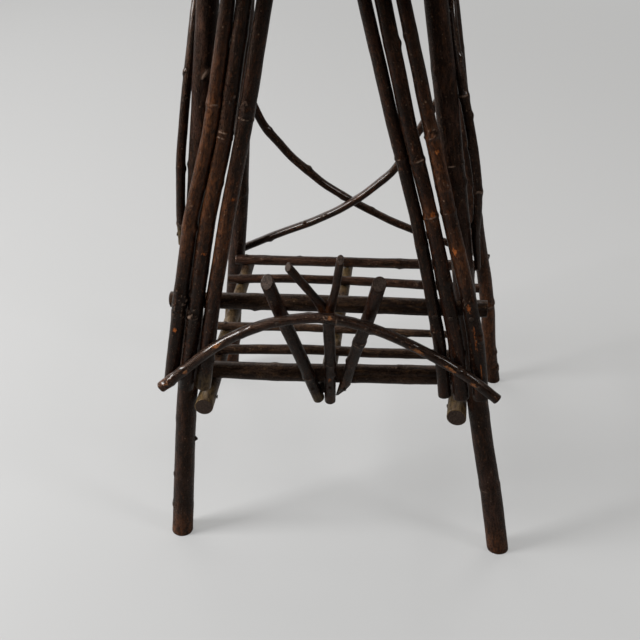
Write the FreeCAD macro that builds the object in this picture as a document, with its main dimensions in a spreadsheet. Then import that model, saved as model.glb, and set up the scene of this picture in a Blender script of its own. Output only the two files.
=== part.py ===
import FreeCAD, Part
import os
import Sketcher
from FreeCAD import Placement, Rotation, Vector

# Rustic table nailed together from bark-on hickory sticks: four leaning legs, a slatted
# shelf, two bundles of three sticks in an inverted V, a bent arch over a fan of sticks,
# bent braces at the back and sides, and a small board top edged with sticks.
# Millimetres. +Z is up, the front faces -Y, and the origin is on the floor under the middle.

SIZES = {
    # Legs
    "foot_span_x": 410,
    "foot_span_y": 345,
    "leg_rise": 725,
    "leg_lean_x": 100,
    "leg_lean_y": 65,
    "leg_thick": 27,
    # Shelf
    "shelf_height": 211,
    "side_rail_thick": 23,
    "side_rail_length": 322,
    "side_rail_nose": 22,
    "middle_rail_thick": 18.4,
    "middle_rail_length": 276.4,
    "middle_rail_nose": 2.8,
    "middle_rail_aside": 11,
    "front_slat_thick": 21,
    "front_slat_length": 308,
    "slat_thick": 12,
    "back_slat_thick": 13.6,
    "slat_length": 342,
    # Front rail half way up
    "upper_rail_height": 356,
    "upper_rail_thick": 18.6,
    "upper_rail_length": 351,
    "upper_rail_overhang": 21,
    # Bundles of the inverted V
    "bundle_thick": 17.4,
    "bundle_over": 109,
    "bundle_reach": 108,
    "bundle_spread": 151,
    # Bent arch
    "arch_thick": 11.6,
    "arch_overhang": 38.5,
    "arch_rise": 97,
    "arch_drop": 93.2,
    # Fan
    "fan_thick": 14,
    "fan_over": 66,
    "fan_reach": 24,
    "fan_spread": 50,
    "trunk_over": 33,
    "fork_spread": 39,
    "branch_thick": 9.6,
    # Bent braces
    "back_brace_thick": 10.8,
    "back_brace_length": 430,
    "back_brace_foot": 220,
    "back_brace_rise": 285,
    "back_brace_bow": 57,
    "side_brace_thick": 10.2,
    "side_brace_length": 410,
    "left_brace_foot": 424,
    "right_brace_foot": 430,
    "side_brace_head": 700,
    "side_brace_bow": 128,
    # Top
    "top_rail_thick": 18,
    "top_rail_overhang": 38,
    "board_thick": 14,
    "board_width": 93.4,
    "board_length": 372,
    "board_gap": 1.2,
    "board_set_back": 3,
    "edge_thick": 14,
    # Nails and seats
    "seat_gap": 0.3,
    "nail_thick": 2.2,
    "nail_head_width": 5.4,
    "nail_head_depth": 1,
    "nail_bite": 9,
    "nail_clearance": 0.15,
}

# Sizes that follow from the ones above, by how far a stick reaches past what carries it.

FOLLOWING = {
    "bundle_length": "=leg_rise - upper_rail_height + bundle_over",
    "fan_length": "=upper_rail_height - shelf_height + fan_over",
    "trunk_length": "=upper_rail_height - shelf_height + trunk_over",
    "arch_span": "=(bundle_spread + arch_overhang) * 2",
    "arch_height": "=upper_rail_height - arch_drop",
}

doc = FreeCAD.newDocument("rustic_table")
sheet = doc.addObject("Spreadsheet::Sheet", "sizes")
for row, (alias, value) in enumerate((SIZES | FOLLOWING).items(), start=1):
    sheet.set(f"A{row}", alias)
    sheet.set(f"B{row}", str(value))
    sheet.setAlias(f"B{row}", alias)
doc.recompute()


def size(alias):
    """A value read from the sheet."""
    return float(sheet.get(alias))


def keep(alias, value):
    """Keep a worked-out length on the sheet, below the driving ones."""
    row = 1
    while sheet.getContents(f"A{row}"):
        row += 1
    sheet.set(f"A{row}", alias)
    sheet.set(f"B{row}", f"{value:.6f}")
    sheet.setAlias(f"B{row}", alias)
    doc.recompute([sheet])


# Sticks
# Each stick is a body whose round sections are lofted from butt to tip. A station is a
# share of each of its three runs and of its thickness.

sticks = {}
holes = {}
nails = {}
FRONT = Vector(0, -1, 0)
BACK = Vector(0, 1, 0)
UP = Vector(0, 0, 1)
DOWN = Vector(0, 0, -1)
LEFT = Vector(-1, 0, 0)
RIGHT = Vector(1, 0, 0)


def squared(centres, index):
    """The turn that sets a section square to the stick where it stands."""
    before = centres[max(index - 1, 0)]
    after = centres[min(index + 1, len(centres) - 1)]
    return Rotation(UP, after - before)


def limb(body, name, thick, runs, stations, square=True):
    """Loft one stick or branch in its body, and return its centres there."""
    plane = next(item for item in body.Origin.OriginFeatures if item.Role == "XY_Plane")
    centres = [Vector(*(size(run) * share for run, share in zip(runs, station))) for station in stations]
    sections = []
    for index, station in enumerate(stations):
        sketch = body.newObject("Sketcher::SketchObject", f"{name}_section_{index}")
        sketch.AttachmentSupport = [(plane, "")]
        sketch.MapMode = "FlatFace"
        turn = squared(centres, index) if square else Rotation()
        sketch.AttachmentOffset = Placement(centres[index], turn)
        for axis, run, share in zip("xyz", runs, station):
            sketch.setExpression(f"AttachmentOffset.Base.{axis}", f"sizes.{run} * {share:.6f}")
        radius = size(thick) * station[3] / 2
        ring = sketch.addGeometry(Part.Circle(Vector(), UP, radius), False)
        sketch.addConstraint(Sketcher.Constraint("Coincident", ring, 3, -1, 1))
        sketch.addConstraint(Sketcher.Constraint("Radius", ring, radius))
        sketch.setExpression("Constraints[1]", f"sizes.{thick} * {station[3]:.6f} / 2")
        sections.append(sketch)
    loft = body.newObject("PartDesign::AdditiveLoft", f"{name}_loft")
    loft.Profile = sections[0]
    loft.Sections = sections[1:]
    loft.Ruled = True
    body.Tip = loft
    return centres


def stick(label, thick, runs, stations, place, square=True):
    """Make a stick's body and remember its line for the sticks that rest on it."""
    body = doc.addObject("PartDesign::Body", f"{label}_wood")
    centres = limb(body, label, thick, runs, stations, square)
    body.Placement = place
    line = [(place.multVec(centre), station[3]) for centre, station in zip(centres, stations)]
    sticks[label] = {"body": body, "thick": thick, "line": line}
    holes[label] = []
    return body


def crossing(label, axis, value):
    """Centre, thickness share and heading of a stick where it passes a coordinate."""
    line = sticks[label]["line"]
    for (start, start_share), (end, end_share) in zip(line, line[1:]):
        low, high = getattr(start, axis), getattr(end, axis)
        if low != high and (low - value) * (high - value) <= 0:
            along = (value - low) / (high - low)
            share = start_share + (end_share - start_share) * along
            return start + (end - start) * along, share, (end - start).normalize()
    raise ValueError(f"{label} does not pass {axis} = {value:.1f}")


def radius_at(label, axis, value):
    """Radius of a stick where it passes a coordinate."""
    return size(sticks[label]["thick"]) * crossing(label, axis, value)[1] / 2


def between(form, along, column):
    """A column of a form at a share of the length."""
    for start, end in zip(form, form[1:]):
        if along <= end[0]:
            step = (along - start[0]) / (end[0] - start[0])
            return start[column] + (end[column] - start[column]) * step
    return form[-1][column]


def laid(label, thick, length, form, rests, outward, reach, group,
         bow=None, nailed=(True, True), behind=(None, None)):
    """Lay a stick across two others and nail it to them.

    The form's rows are shares along the length, of the thickness, of the bow aside, and
    of the thickness away from the rests. Each rest names a stick and where it is crossed.
    A nail goes on through the rest into the stick named behind it.
    """
    form = [tuple(row) + (0,) * (4 - len(row)) for row in form]
    bow = bow or thick
    seats = [(name, axis, value, *crossing(name, axis, value)) for name, axis, value in rests]
    points = [seat[3] for seat in seats]
    for _ in range(6):
        heading = (points[1] - points[0]).normalize()
        shares = [reach / size(length), (reach + (points[1] - points[0]).Length) / size(length)]
        points, inwards = [], []
        for (name, axis, value, centre, share, support), along in zip(seats, shares):
            away = support.cross(heading).normalize()
            if away.dot(outward) < 0:
                away = -away
            lift = (size(sticks[name]["thick"]) * share + size(thick) * between(form, along, 1)) / 2
            point = centre + away * (lift + size("seat_gap"))
            slide = (value - getattr(point, axis)) / getattr(support, axis)
            points.append(point + support * slide)
            inwards.append(-away)
    side = heading.cross(outward).normalize()
    place = Placement(points[0] - heading * reach, Rotation(side, Vector(), heading, "ZXY"))
    stations = []
    for along, share, aside, away in form:
        stations.append((aside, -away, along, share))
    stick(label, thick, (bow, thick, length), stations, place)
    for index, (name, _, _, _, rest_share, _) in enumerate(seats):
        if nailed[index]:
            share = between(form, shares[index], 1)
            point = points[index] + side * (between(form, shares[index], 2) * size(bow))
            surface = point - inwards[index] * (size(thick) * share / 2)
            depth = f"sizes.{thick} * {share:.6f}"
            pierced = [label, name]
            if behind[index]:
                depth += f" + sizes.{sticks[name]['thick']} * {rest_share:.6f}"
                pierced.append(behind[index])
            drive(group, pierced, surface, inwards[index], depth)


def drive(group, pierced, surface, inward, depth, sunk=False):
    """Drive a nail from a surface through a depth, and open its hole in what it pierces."""
    index = len(nails.setdefault(group, []))
    turn = Rotation(UP, inward)
    seat = surface + inward * (size("nail_head_depth") if sunk else -size("seat_gap"))
    crown = seat - inward * size("nail_head_depth")
    shank = doc.addObject("Part::Cylinder", f"{group}_shank_{index}")
    shank.setExpression("Radius", "sizes.nail_thick / 2")
    shank.setExpression("Height", f"{depth} + sizes.nail_bite")
    shank.Placement = Placement(seat, turn)
    head = doc.addObject("Part::Cylinder", f"{group}_head_{index}")
    head.setExpression("Radius", "sizes.nail_head_width / 2")
    head.setExpression("Height", "sizes.nail_head_depth")
    head.Placement = Placement(crown, turn)
    whole = doc.addObject("Part::Fuse", f"{group}_{index}")
    whole.Base = shank
    whole.Tool = head
    nails[group].append(whole)
    hole = doc.addObject("Part::Cylinder", f"{group}_hole_{index}")
    hole.setExpression("Radius", "sizes.nail_thick / 2 + sizes.nail_clearance")
    hole.setExpression("Height", f"{depth} + sizes.nail_bite + sizes.nail_head_width")
    hole.Placement = Placement(seat - inward * (size("nail_head_width") - size("nail_clearance")), turn)
    for label in pierced:
        holes[label].append(hole)
    if sunk:
        recess = doc.addObject("Part::Cylinder", f"{group}_recess_{index}")
        recess.setExpression("Radius", "sizes.nail_head_width / 2 + sizes.nail_clearance")
        recess.setExpression("Height", "sizes.nail_head_depth * 2")
        recess.Placement = Placement(crown - inward * size("nail_head_depth"), turn)
        holes[pierced[0]].append(recess)


# Legs
# Rows: share of the height, of the lean aside from straight, and of the thickness.

LEG_SHARES = {
    "front_left_leg": [
        (0, 0.024, 1), (0.1, 0.004, 0.985), (0.25, -0.01, 0.955), (0.47, 0.006, 0.93),
        (0.68, 0.003, 0.89), (0.86, -0.004, 0.855), (1, 0, 0.84),
    ],
    "front_right_leg": [
        (0, 0.008, 0.97), (0.113, 0.012, 0.955), (0.226, 0.043, 0.94), (0.36, 0.048, 0.925),
        (0.5, 0.046, 0.9), (0.67, 0.024, 0.875), (0.82, 0.008, 0.85), (1, 0, 0.83),
    ],
    "back_left_leg": [
        (0, 0, 0.9), (0.11, 0.004, 0.885), (0.23, 0.015, 0.86), (0.34, 0.033, 0.85),
        (0.45, 0.046, 0.83), (0.58, 0.032, 0.815), (0.74, 0.01, 0.8), (1, 0, 0.78),
    ],
    "back_right_leg": [
        (0, 0.032, 0.82), (0.09, 0.026, 0.8), (0.18, -0.024, 0.78), (0.27, -0.028, 0.77),
        (0.38, 0.006, 0.76), (0.6, 0.012, 0.75), (0.8, -0.006, 0.74), (1, 0, 0.73),
    ],
}
for label, form in LEG_SHARES.items():
    right = 1 if "right" in label else -1
    back = 1 if "back" in label else -1
    stations = [(-right * (up + aside), -back * up, up, share) for up, aside, share in form]
    foot = Vector(right * size("foot_span_x") / 2, back * size("foot_span_y") / 2, 0)
    runs = ("leg_lean_x", "leg_lean_y", "leg_rise")
    stick(label, "leg_thick", runs, stations, Placement(foot, Rotation()), square=False)


# Shelf
# Two side rails nailed to the legs' inner sides carry six slats, and a thinner middle
# rail hangs under them. From here on a form's rows are shares of the length and of the
# thickness, then of the bow.

SIDE_RAIL_SHARES = {
    "shelf_left_rail": [(0, 1), (0.3, 0.9), (0.62, 0.77), (1, 0.68)],
    "shelf_right_rail": [(0, 1), (0.35, 0.9), (0.7, 0.78), (1, 0.7)],
}
for label, form in SIDE_RAIL_SHARES.items():
    side = label.split("_")[1]
    rests = [(f"{end}_{side}_leg", "z", size("shelf_height")) for end in ("front", "back")]
    laid(label, "side_rail_thick", "side_rail_length", form, rests,
         RIGHT if side == "left" else LEFT, size("side_rail_nose"), "frame_nails")

SLAT_SHARES = (
    (-0.373, -0.356, [(0, 0.955), (0.3, 0.965, 0.12), (0.64, 0.995, 0.06), (1, 1.015)]),
    (-0.239, -0.22, [
        (0, 0.92, -0.08), (0.06, 0.93), (0.21, 0.95, -0.23), (0.415, 0.97, -0.36),
        (0.62, 0.98, -0.1), (0.82, 0.99, -0.04), (1, 1),
    ]),
    (-0.086, -0.091, [
        (0, 0.84), (0.385, 0.81, -0.31), (0.6, 0.8, -0.125), (0.82, 0.79, -0.05), (1, 0.77, 0.05),
    ]),
    (0.066, 0.07, [(0, 0.93, 0.1), (0.3, 0.95, -0.05), (0.7, 0.97, 0.08), (1, 0.98)]),
    (0.242, 0.23, [
        (0, 1.02, 0.12), (0.06, 1), (0.225, 0.98, -0.45), (0.4, 0.96, -0.52),
        (0.555, 0.95, -0.47), (0.77, 0.94, -0.2), (0.94, 0.93), (1, 0.92, 0.06),
    ]),
)
for index, (left_share, right_share, form) in enumerate(SLAT_SHARES):
    places = (("left", left_share), ("right", right_share))
    rests = [(f"shelf_{side}_rail", "y", size("foot_span_y") * share) for side, share in places]
    span = crossing(*rests[1])[0].x - crossing(*rests[0])[0].x
    kind = "front_slat" if index == 0 else "slat"
    reach = (size(f"{kind}_length") - span) / 2
    laid(f"shelf_slat_{index + 1}", f"{kind}_thick", f"{kind}_length", form, rests, UP, reach, "shelf_nails")

BACK_SLAT_SHARES = [(0, 1.02), (0.3, 1), (0.7, 0.98), (1, 0.97)]
back_level = size("shelf_height") + (size("side_rail_thick") + size("back_slat_thick")) / 2
back_rests = []
for side in ("left", "right"):
    leg = f"back_{side}_leg"
    stand_off = radius_at(leg, "z", back_level) + size("back_slat_thick") / 2 + 2 * size("seat_gap")
    back_rests.append((f"shelf_{side}_rail", "y", crossing(leg, "z", back_level)[0].y - stand_off))
back_span = crossing(*back_rests[1])[0].x - crossing(*back_rests[0])[0].x
laid("shelf_slat_6", "back_slat_thick", "slat_length", BACK_SLAT_SHARES, back_rests, UP,
     (size("slat_length") - back_span) / 2, "shelf_nails")

MIDDLE_RAIL_SHARES = [(0, 1), (0.36, 0.96, 0, 0.03), (0.7, 0.88, 0, 0.06), (1, 0.8)]
middle_rests = [(slat, "x", -size("middle_rail_aside")) for slat in ("shelf_slat_1", "shelf_slat_6")]
laid("shelf_middle_rail", "middle_rail_thick", "middle_rail_length", MIDDLE_RAIL_SHARES, middle_rests,
     DOWN, size("middle_rail_nose"), "shelf_nails")


# Upper and top rails
# The upper front rail and the top front rail cross the front of the front legs, and the
# top back rail crosses the back of the back legs. Two cross rails stand inside the legs.

UPPER_RAIL_SHARES = [(0, 1), (0.25, 1.01, -0.01), (0.5, 1, -0.06), (0.75, 0.98, -0.02), (1, 0.96)]
upper_rests = [(f"front_{side}_leg", "z", size("upper_rail_height")) for side in ("left", "right")]
laid("upper_front_rail", "upper_rail_thick", "upper_rail_length", UPPER_RAIL_SHARES, upper_rests,
     FRONT, size("upper_rail_overhang"), "frame_nails", nailed=(False, False))

TOP_RAIL_SHARES = [(0, 1), (0.4, 0.99), (1, 0.98)]
top_level = size("leg_rise") - size("top_rail_thick") / 2
top_span = crossing("front_right_leg", "z", top_level)[0].x - crossing("front_left_leg", "z", top_level)[0].x
keep("top_rail_length", top_span + 2 * size("top_rail_overhang"))
for end, outward in (("front", FRONT), ("back", BACK)):
    rests = [(f"{end}_{side}_leg", "z", top_level) for side in ("left", "right")]
    laid(f"top_{end}_rail", "top_rail_thick", "top_rail_length", TOP_RAIL_SHARES, rests, outward,
         size("top_rail_overhang"), "frame_nails")

inner_edges = []
for end in ("front", "back"):
    crossings = [crossing(f"{end}_{side}_leg", "z", top_level)[0].x for side in ("left", "right")]
    centre = min(abs(crossing(f"top_{end}_rail", "x", across)[0].y) for across in crossings)
    inner_edges.append(centre - size("top_rail_thick") / 2 - 2 * size("seat_gap"))
keep("cross_rail_length", sum(inner_edges))
for side, inward in (("left", RIGHT), ("right", LEFT)):
    rests = [(f"{end}_{side}_leg", "z", top_level) for end in ("front", "back")]
    reach = crossing(*rests[0])[0].y + inner_edges[0]
    laid(f"top_{side}_rail", "top_rail_thick", "cross_rail_length", TOP_RAIL_SHARES, rests, inward,
         reach, "frame_nails")


# Bundles
# Each stick stands in front of the upper rail and the top rail. A row: side, name, share
# of the spread at the upper rail and at the top rail, and share of the reach below.

BUNDLE_STICK_SHARES = {
    "left_bundle_outer_stick": (-1.058, -0.519, 0.89, 0.968, [
        (0, 0.98), (0.104, 0.97, -0.086), (0.23, 0.955, -0.161), (0.439, 0.92, -0.259),
        (0.657, 0.87, 0.155), (0.933, 0.82, 0.063), (1, 0.8),
    ]),
    "left_bundle_middle_stick": (-0.938, -0.409, 1, 1, [
        (0, 0.97), (0.133, 0.965, -0.086), (0.255, 0.955, -0.161), (0.458, 0.93, -0.207),
        (0.667, 0.88, 0.086), (1, 0.82),
    ]),
    "left_bundle_inner_stick": (-0.808, -0.278, 0.98, 1, [
        (0, 1), (0.129, 0.98, -0.115), (0.252, 0.96, -0.23), (0.456, 0.93, -0.184),
        (0.665, 0.9), (1, 0.85),
    ]),
    "right_bundle_inner_stick": (0.741, 0.266, 0.97, 1, [
        (0, 0.92), (0.06, 0.84, 0.14), (0.1525, 0.83, 0.339), (0.271, 0.82, 0.385),
        (0.466, 0.77, 0.448), (0.669, 0.74, 0.184), (0.934, 0.71), (1, 0.69),
    ]),
    "right_bundle_middle_stick": (0.859, 0.379, 0.98, 1, [
        (0, 1.01), (0.155, 1, 0.345), (0.271, 0.99, 0.333), (0.468, 0.94, 0.333),
        (0.669, 0.91, 0.057), (1, 0.86),
    ]),
    "right_bundle_outer_stick": (1, 0.502, 0.98, 1, [
        (0, 1.01), (0.157, 1, 0.362), (0.273, 0.97, 0.402), (0.468, 0.9, 0.23),
        (0.669, 0.84, 0.115), (1, 0.75),
    ]),
}
for label, (low_share, high_share, reach_share, length_share, form) in BUNDLE_STICK_SHARES.items():
    spread = size("bundle_spread")
    rests = [("upper_front_rail", "x", spread * low_share), ("top_front_rail", "x", spread * high_share)]
    form = [(along * length_share, *row) for along, *row in form]
    side = label.split("_")[0]
    leg = f"front_{side}_leg" if "outer" in label else None
    laid(label, "bundle_thick", "bundle_length", form, rests, FRONT,
         size("bundle_reach") * reach_share, "bundle_nails", behind=(leg, None))


# Fan
# Three sticks rise from the front slat and pass in front of the upper rail. The middle
# one forks just above it.

FAN_STICK_SHARES = {
    "fan_left_stick": (-0.485, -0.985, 1.13, [
        (0, 1.03), (0.34, 1.06, 0.06), (0.65, 1.08, -0.05), (1, 1.06),
    ]),
    "fan_forked_stick": (-0.08, 0.05, 1.33, [
        (0, 0.93), (0.41, 0.91, 0.1), (0.74, 0.93, 0.04), (1, 0.9),
    ]),
    "fan_right_stick": (0.272, 0.932, 0.45, [
        (0, 0.93), (0.36, 0.98, -0.04), (0.67, 1.04, 0.06), (0.945, 1.06),
    ]),
}
for label, (low_share, high_share, reach_share, form) in FAN_STICK_SHARES.items():
    spread = size("fan_spread")
    rests = [("shelf_slat_1", "x", spread * low_share), ("upper_front_rail", "x", spread * high_share)]
    length = "trunk_length" if label == "fan_forked_stick" else "fan_length"
    laid(label, "fan_thick", length, form, rests, FRONT, size("fan_reach") * reach_share,
         "fan_nails", nailed=(True, False))

BRANCH_SHARES = {
    "left_branch": [(0, 0, 0.86, 1.02), (-0.1, 0, 0.96, 1), (-0.53, 0, 1.12, 0.99), (-1.05, 0, 1.308, 0.95)],
    "right_branch": [(0, 0, 0.86, 1), (0.08, 0, 0.96, 0.97), (0.24, 0, 1.17, 0.95), (0.36, 0, 1.4, 0.9)],
}
for name, stations in BRANCH_SHARES.items():
    limb(sticks["fan_forked_stick"]["body"], name, "branch_thick",
         ("fork_spread", "fan_thick", "trunk_length"), stations)


# Bent arch
# A hoop in a plane that leans with the bundles, over their thickest stick. Rows: share
# of the span across, of the rise, of the thickness set back to the fan, and of the
# thickness itself.

ARCH_SHARES = (
    (-0.5, 0, 0, 1.02), (-0.42, 0.266, 0, 1), (-0.34, 0.534, 0, 1), (-0.26, 0.744, 0, 0.99),
    (-0.17, 0.902, 0.08, 1), (-0.08, 0.98, 0.14, 1), (0, 1, 0.2, 1), (0.08, 0.954, 0.16, 1.01),
    (0.17, 0.845, 0.08, 1), (0.26, 0.678, 0, 0.98), (0.34, 0.5, 0, 1), (0.42, 0.29, 0, 0.97),
    (0.5, 0.022, 0, 0.95),
)


def under_arch(label):
    """Centre and thickness share of a stick where the arch crosses it."""
    level = size("arch_height") + size("arch_rise") / 2
    for _ in range(12):
        centre, share, _ = crossing(label, "z", level)
        rise = between(ARCH_SHARES, centre.x / size("arch_span"), 1)
        level = size("arch_height") + size("arch_rise") * rise
    return centre, share


bundle_run = crossing("left_bundle_middle_stick", "z", size("upper_rail_height"))[2]
arch_up = Vector(0, bundle_run.y / bundle_run.z, 1).normalize()
arch_back = arch_up.cross(RIGHT)
proud = []
for label in BUNDLE_STICK_SHARES:
    centre, share = under_arch(label)
    proud.append(size("bundle_thick") * share / 2 - centre.dot(arch_back))
arch_lift = max(proud) + size("arch_thick") / 2 + size("seat_gap")
arch_foot = arch_back * -arch_lift
arch_foot += arch_up * ((size("arch_height") - arch_foot.z) / arch_up.z)
arch_place = Placement(arch_foot, Rotation(RIGHT, arch_back, arch_up, "ZXY"))
arch_stations = [(across, back, rise, share) for across, rise, back, share in ARCH_SHARES]
stick("bent_arch", "arch_thick", ("arch_span", "arch_thick", "arch_rise"), arch_stations, arch_place)


def arch_nail(label, through):
    """Nail the arch where it crosses a stick, and on into the rail behind a fan stick."""
    crossed, stick_share = under_arch(label)
    centre, share, _ = crossing("bent_arch", "x", crossed.x)
    depth = f"sizes.arch_thick * {share:.6f}"
    pierced = ["bent_arch", label]
    if through:
        depth += f" + sizes.fan_thick * {stick_share:.6f}"
        pierced.append("upper_front_rail")
    drive("arch_nails", pierced, centre - arch_back * (size("arch_thick") * share / 2), arch_back, depth)


for label in ("left_bundle_outer_stick", "right_bundle_outer_stick"):
    arch_nail(label, through=False)
for label in FAN_STICK_SHARES:
    arch_nail(label, through=True)


# Bent braces
# Two twigs cross behind the back legs, and one on each side runs up the outside of the
# front leg and bends back to the back leg under the top.

BACK_BRACE_SHARES = {
    "back_brace_a": (0.912, 0, 0.033, [
        (0, 1.04, 0.157), (0.033, 1.03), (0.088, 1.02, -0.267), (0.151, 1.02, -0.539),
        (0.288, 1, -0.807, 0.3), (0.422, 1, -0.925, 0.54), (0.515, 0.99, -0.871, 0.58),
        (0.564, 0.99, -0.816, 0.54), (0.67, 0.98, -0.664, 0.3), (0.772, 0.97, -0.452, 0.1),
        (0.963, 0.96), (1, 0.95, 0.07),
    ]),
    "back_brace_b": (0, 1, 0.019, [
        (0, 0.97, 0.03), (0.019, 0.97), (0.042, 0.97, -0.044), (0.185, 0.98, -0.334, -0.25),
        (0.295, 0.99, -0.592, -0.45), (0.397, 1, -0.777, -0.58), (0.501, 1, -0.87, -0.56),
        (0.631, 1.02, -0.888, -0.25), (0.838, 1.02, -0.358), (0.981, 1.03), (1, 1.03, 0.05),
    ]),
}
for label, (left_share, right_share, reach_share, form) in BACK_BRACE_SHARES.items():
    foot, rise = size("back_brace_foot"), size("back_brace_rise")
    rests = [("back_left_leg", "z", foot + rise * left_share)]
    rests.append(("back_right_leg", "z", foot + rise * right_share))
    laid(label, "back_brace_thick", "back_brace_length", form, rests, BACK,
         size("back_brace_length") * reach_share, "brace_nails", bow="back_brace_bow")

SIDE_BRACE_SHARES = {
    "left": (0.024, [
        (0, 0.62, -0.055), (0.024, 0.82), (0.071, 0.98, 0.14, -0.02), (0.149, 1, 0.345, -0.15),
        (0.206, 1, 0.459, -0.14), (0.265, 1, 0.573, -0.33), (0.331, 1, 0.688, -0.46),
        (0.398, 1, 0.802, -0.72), (0.465, 0.99, 0.892, -0.91), (0.532, 0.98, 0.982, -1.04),
        (0.62, 0.97, 0.998, -0.89), (0.714, 0.96, 0.849, -0.57), (0.822, 0.95, 0.528, -0.32),
        (0.904, 0.94, 0.185, -0.11), (0.928, 0.94), (0.942, 0.93, -0.099, 0.17),
    ]),
    "right": (0.073, [
        (0, 0.62, 0.185, 0.08), (0.033, 0.74, 0.094, 0.1), (0.073, 0.84), (0.083, 0.85, -0.033),
        (0.107, 0.88, -0.113, 0.24), (0.184, 0.96, -0.318, 0.46), (0.241, 1, -0.436, 0.25),
        (0.3, 1.02, -0.553, -0.05), (0.366, 1.04, -0.67, -0.47), (0.434, 1, -0.786, -0.86),
        (0.5, 0.98, -0.878, -1.16),
        (0.566, 0.97, -0.969, -1.28), (0.655, 0.97, -0.989, -1.21), (0.749, 0.96, -0.842, -0.88),
        (0.858, 0.95, -0.525, -0.51), (0.941, 0.94, -0.185, -0.18), (0.964, 0.94), (0.98, 0.93, 0.099, 0.17),
    ]),
}
for side, (reach_share, form) in SIDE_BRACE_SHARES.items():
    rests = [(f"front_{side}_leg", "z", size(f"{side}_brace_foot"))]
    rests.append((f"back_{side}_leg", "z", size("side_brace_head")))
    laid(f"{side}_side_brace", "side_brace_thick", "side_brace_length", form, rests,
         LEFT if side == "left" else RIGHT, size("side_brace_length") * reach_share, "brace_nails",
         bow="side_brace_bow")


# Top
# Four boards lie side by side on the legs and rails, nailed down with flush heads, and
# four sticks are nailed round their edges.

BOARD_COUNT = 4
under = size("leg_rise") + size("seat_gap")
block = BOARD_COUNT * size("board_width") + (BOARD_COUNT - 1) * size("board_gap")
boards = {}
for index in range(BOARD_COUNT):
    label = f"top_board_{index + 1}"
    near = size("board_set_back") - block / 2 + index * (size("board_width") + size("board_gap"))
    board = doc.addObject("Part::Box", f"{label}_wood")
    board.setExpression("Length", "sizes.board_length")
    board.setExpression("Width", "sizes.board_width")
    board.setExpression("Height", "sizes.board_thick")
    board.Placement = Placement(Vector(-size("board_length") / 2, near, under), Rotation())
    boards[label] = {"body": board, "middle": near + size("board_width") / 2}
    holes[label] = []
    end = {0: "front", BOARD_COUNT - 1: "back"}.get(index)
    for side in ("left", "right"):
        if end:
            leg = crossing(f"{end}_{side}_leg", "z", top_level)[0]
            beside = crossing(f"top_{side}_rail", "y", 0)[0]
            target = crossing(f"top_{end}_rail", "x", (leg.x + beside.x) / 2)[0]
            rail = f"top_{end}_rail"
        else:
            rail = f"top_{side}_rail"
            target = crossing(rail, "y", boards[label]["middle"])[0]
        surface = Vector(target.x, target.y, under + size("board_thick"))
        drive("board_nails", [label, rail], surface, DOWN, "sizes.board_thick", sunk=True)

EDGE_SHARES = [(0, 0, 0, 1), (0, 0.02, 0.35, 0.99), (0, -0.02, 0.7, 0.98), (0, 0, 1, 0.97)]
keep("long_edge_length", size("board_length") + 2 * (size("edge_thick") + size("seat_gap")))
keep("short_edge_length", block)
edge_off = size("edge_thick") / 2 + size("seat_gap")
edge_level = under + size("board_thick") / 2
for end, way in (("front", -1), ("back", 1)):
    label = f"{end}_edge_stick"
    line = size("board_set_back") + way * (block / 2 + edge_off)
    start = Vector(-size("long_edge_length") / 2, line, edge_level)
    place = Placement(start, Rotation(UP, Vector(), RIGHT, "ZXY"))
    stick(label, "edge_thick", ("edge_thick", "edge_thick", "long_edge_length"), EDGE_SHARES, place)
    board = "top_board_1" if end == "front" else f"top_board_{BOARD_COUNT}"
    for across in (-size("board_length") / 3, size("board_length") / 3):
        surface = Vector(across, line + way * size("edge_thick") / 2, edge_level)
        drive("edge_nails", [label, board], surface, Vector(0, -way, 0), "sizes.edge_thick + sizes.seat_gap")
for side, way in (("left", -1), ("right", 1)):
    label = f"{side}_edge_stick"
    line = way * (size("board_length") / 2 + edge_off)
    start = Vector(line, size("board_set_back") - block / 2, edge_level)
    place = Placement(start, Rotation(UP, Vector(), BACK, "ZXY"))
    stick(label, "edge_thick", ("edge_thick", "edge_thick", "short_edge_length"), EDGE_SHARES, place)
    for board in ("top_board_1", f"top_board_{BOARD_COUNT}"):
        surface = Vector(line + way * size("edge_thick") / 2, boards[board]["middle"], edge_level)
        drive("edge_nails", [label, board], surface, Vector(-way, 0, 0), "sizes.edge_thick + sizes.seat_gap")


# Nodes
# Each stick and board loses its nail holes, and each group of nails is one node.

nodes = []
for label, piece in {**sticks, **boards}.items():
    node = piece["body"]
    if holes[label]:
        tool = holes[label][0]
        if len(holes[label]) > 1:
            tool = doc.addObject("Part::MultiFuse", f"{label}_holes")
            tool.Shapes = holes[label]
        node = doc.addObject("Part::Cut", f"{label}_cut")
        node.Base = piece["body"]
        node.Tool = tool
    node.Label = label
    nodes.append((node, 1))
for group, members in nails.items():
    node = doc.addObject("Part::Compound", f"{group}_group")
    node.Links = members
    node.Label = group
    nodes.append((node, len(members)))

doc.recompute()
for item in doc.Objects:
    if {"Invalid", "Error"} & set(item.State):
        raise RuntimeError(f"{item.Label} failed: {item.State}")
os.makedirs("parts", exist_ok=True)
for node, count in nodes:
    shape = node.Shape
    if shape.isNull() or not shape.isValid() or len(shape.Solids) != count:
        raise RuntimeError(f"{node.Label} has {len(shape.Solids)} solids, or is not valid")
    shape.exportStep(f"parts/{node.Label}.step")
print(f"{len(nodes)} nodes")
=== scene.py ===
import math
import bmesh
import bpy
import numpy as np
from mathutils import Matrix, Vector, noise


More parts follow.
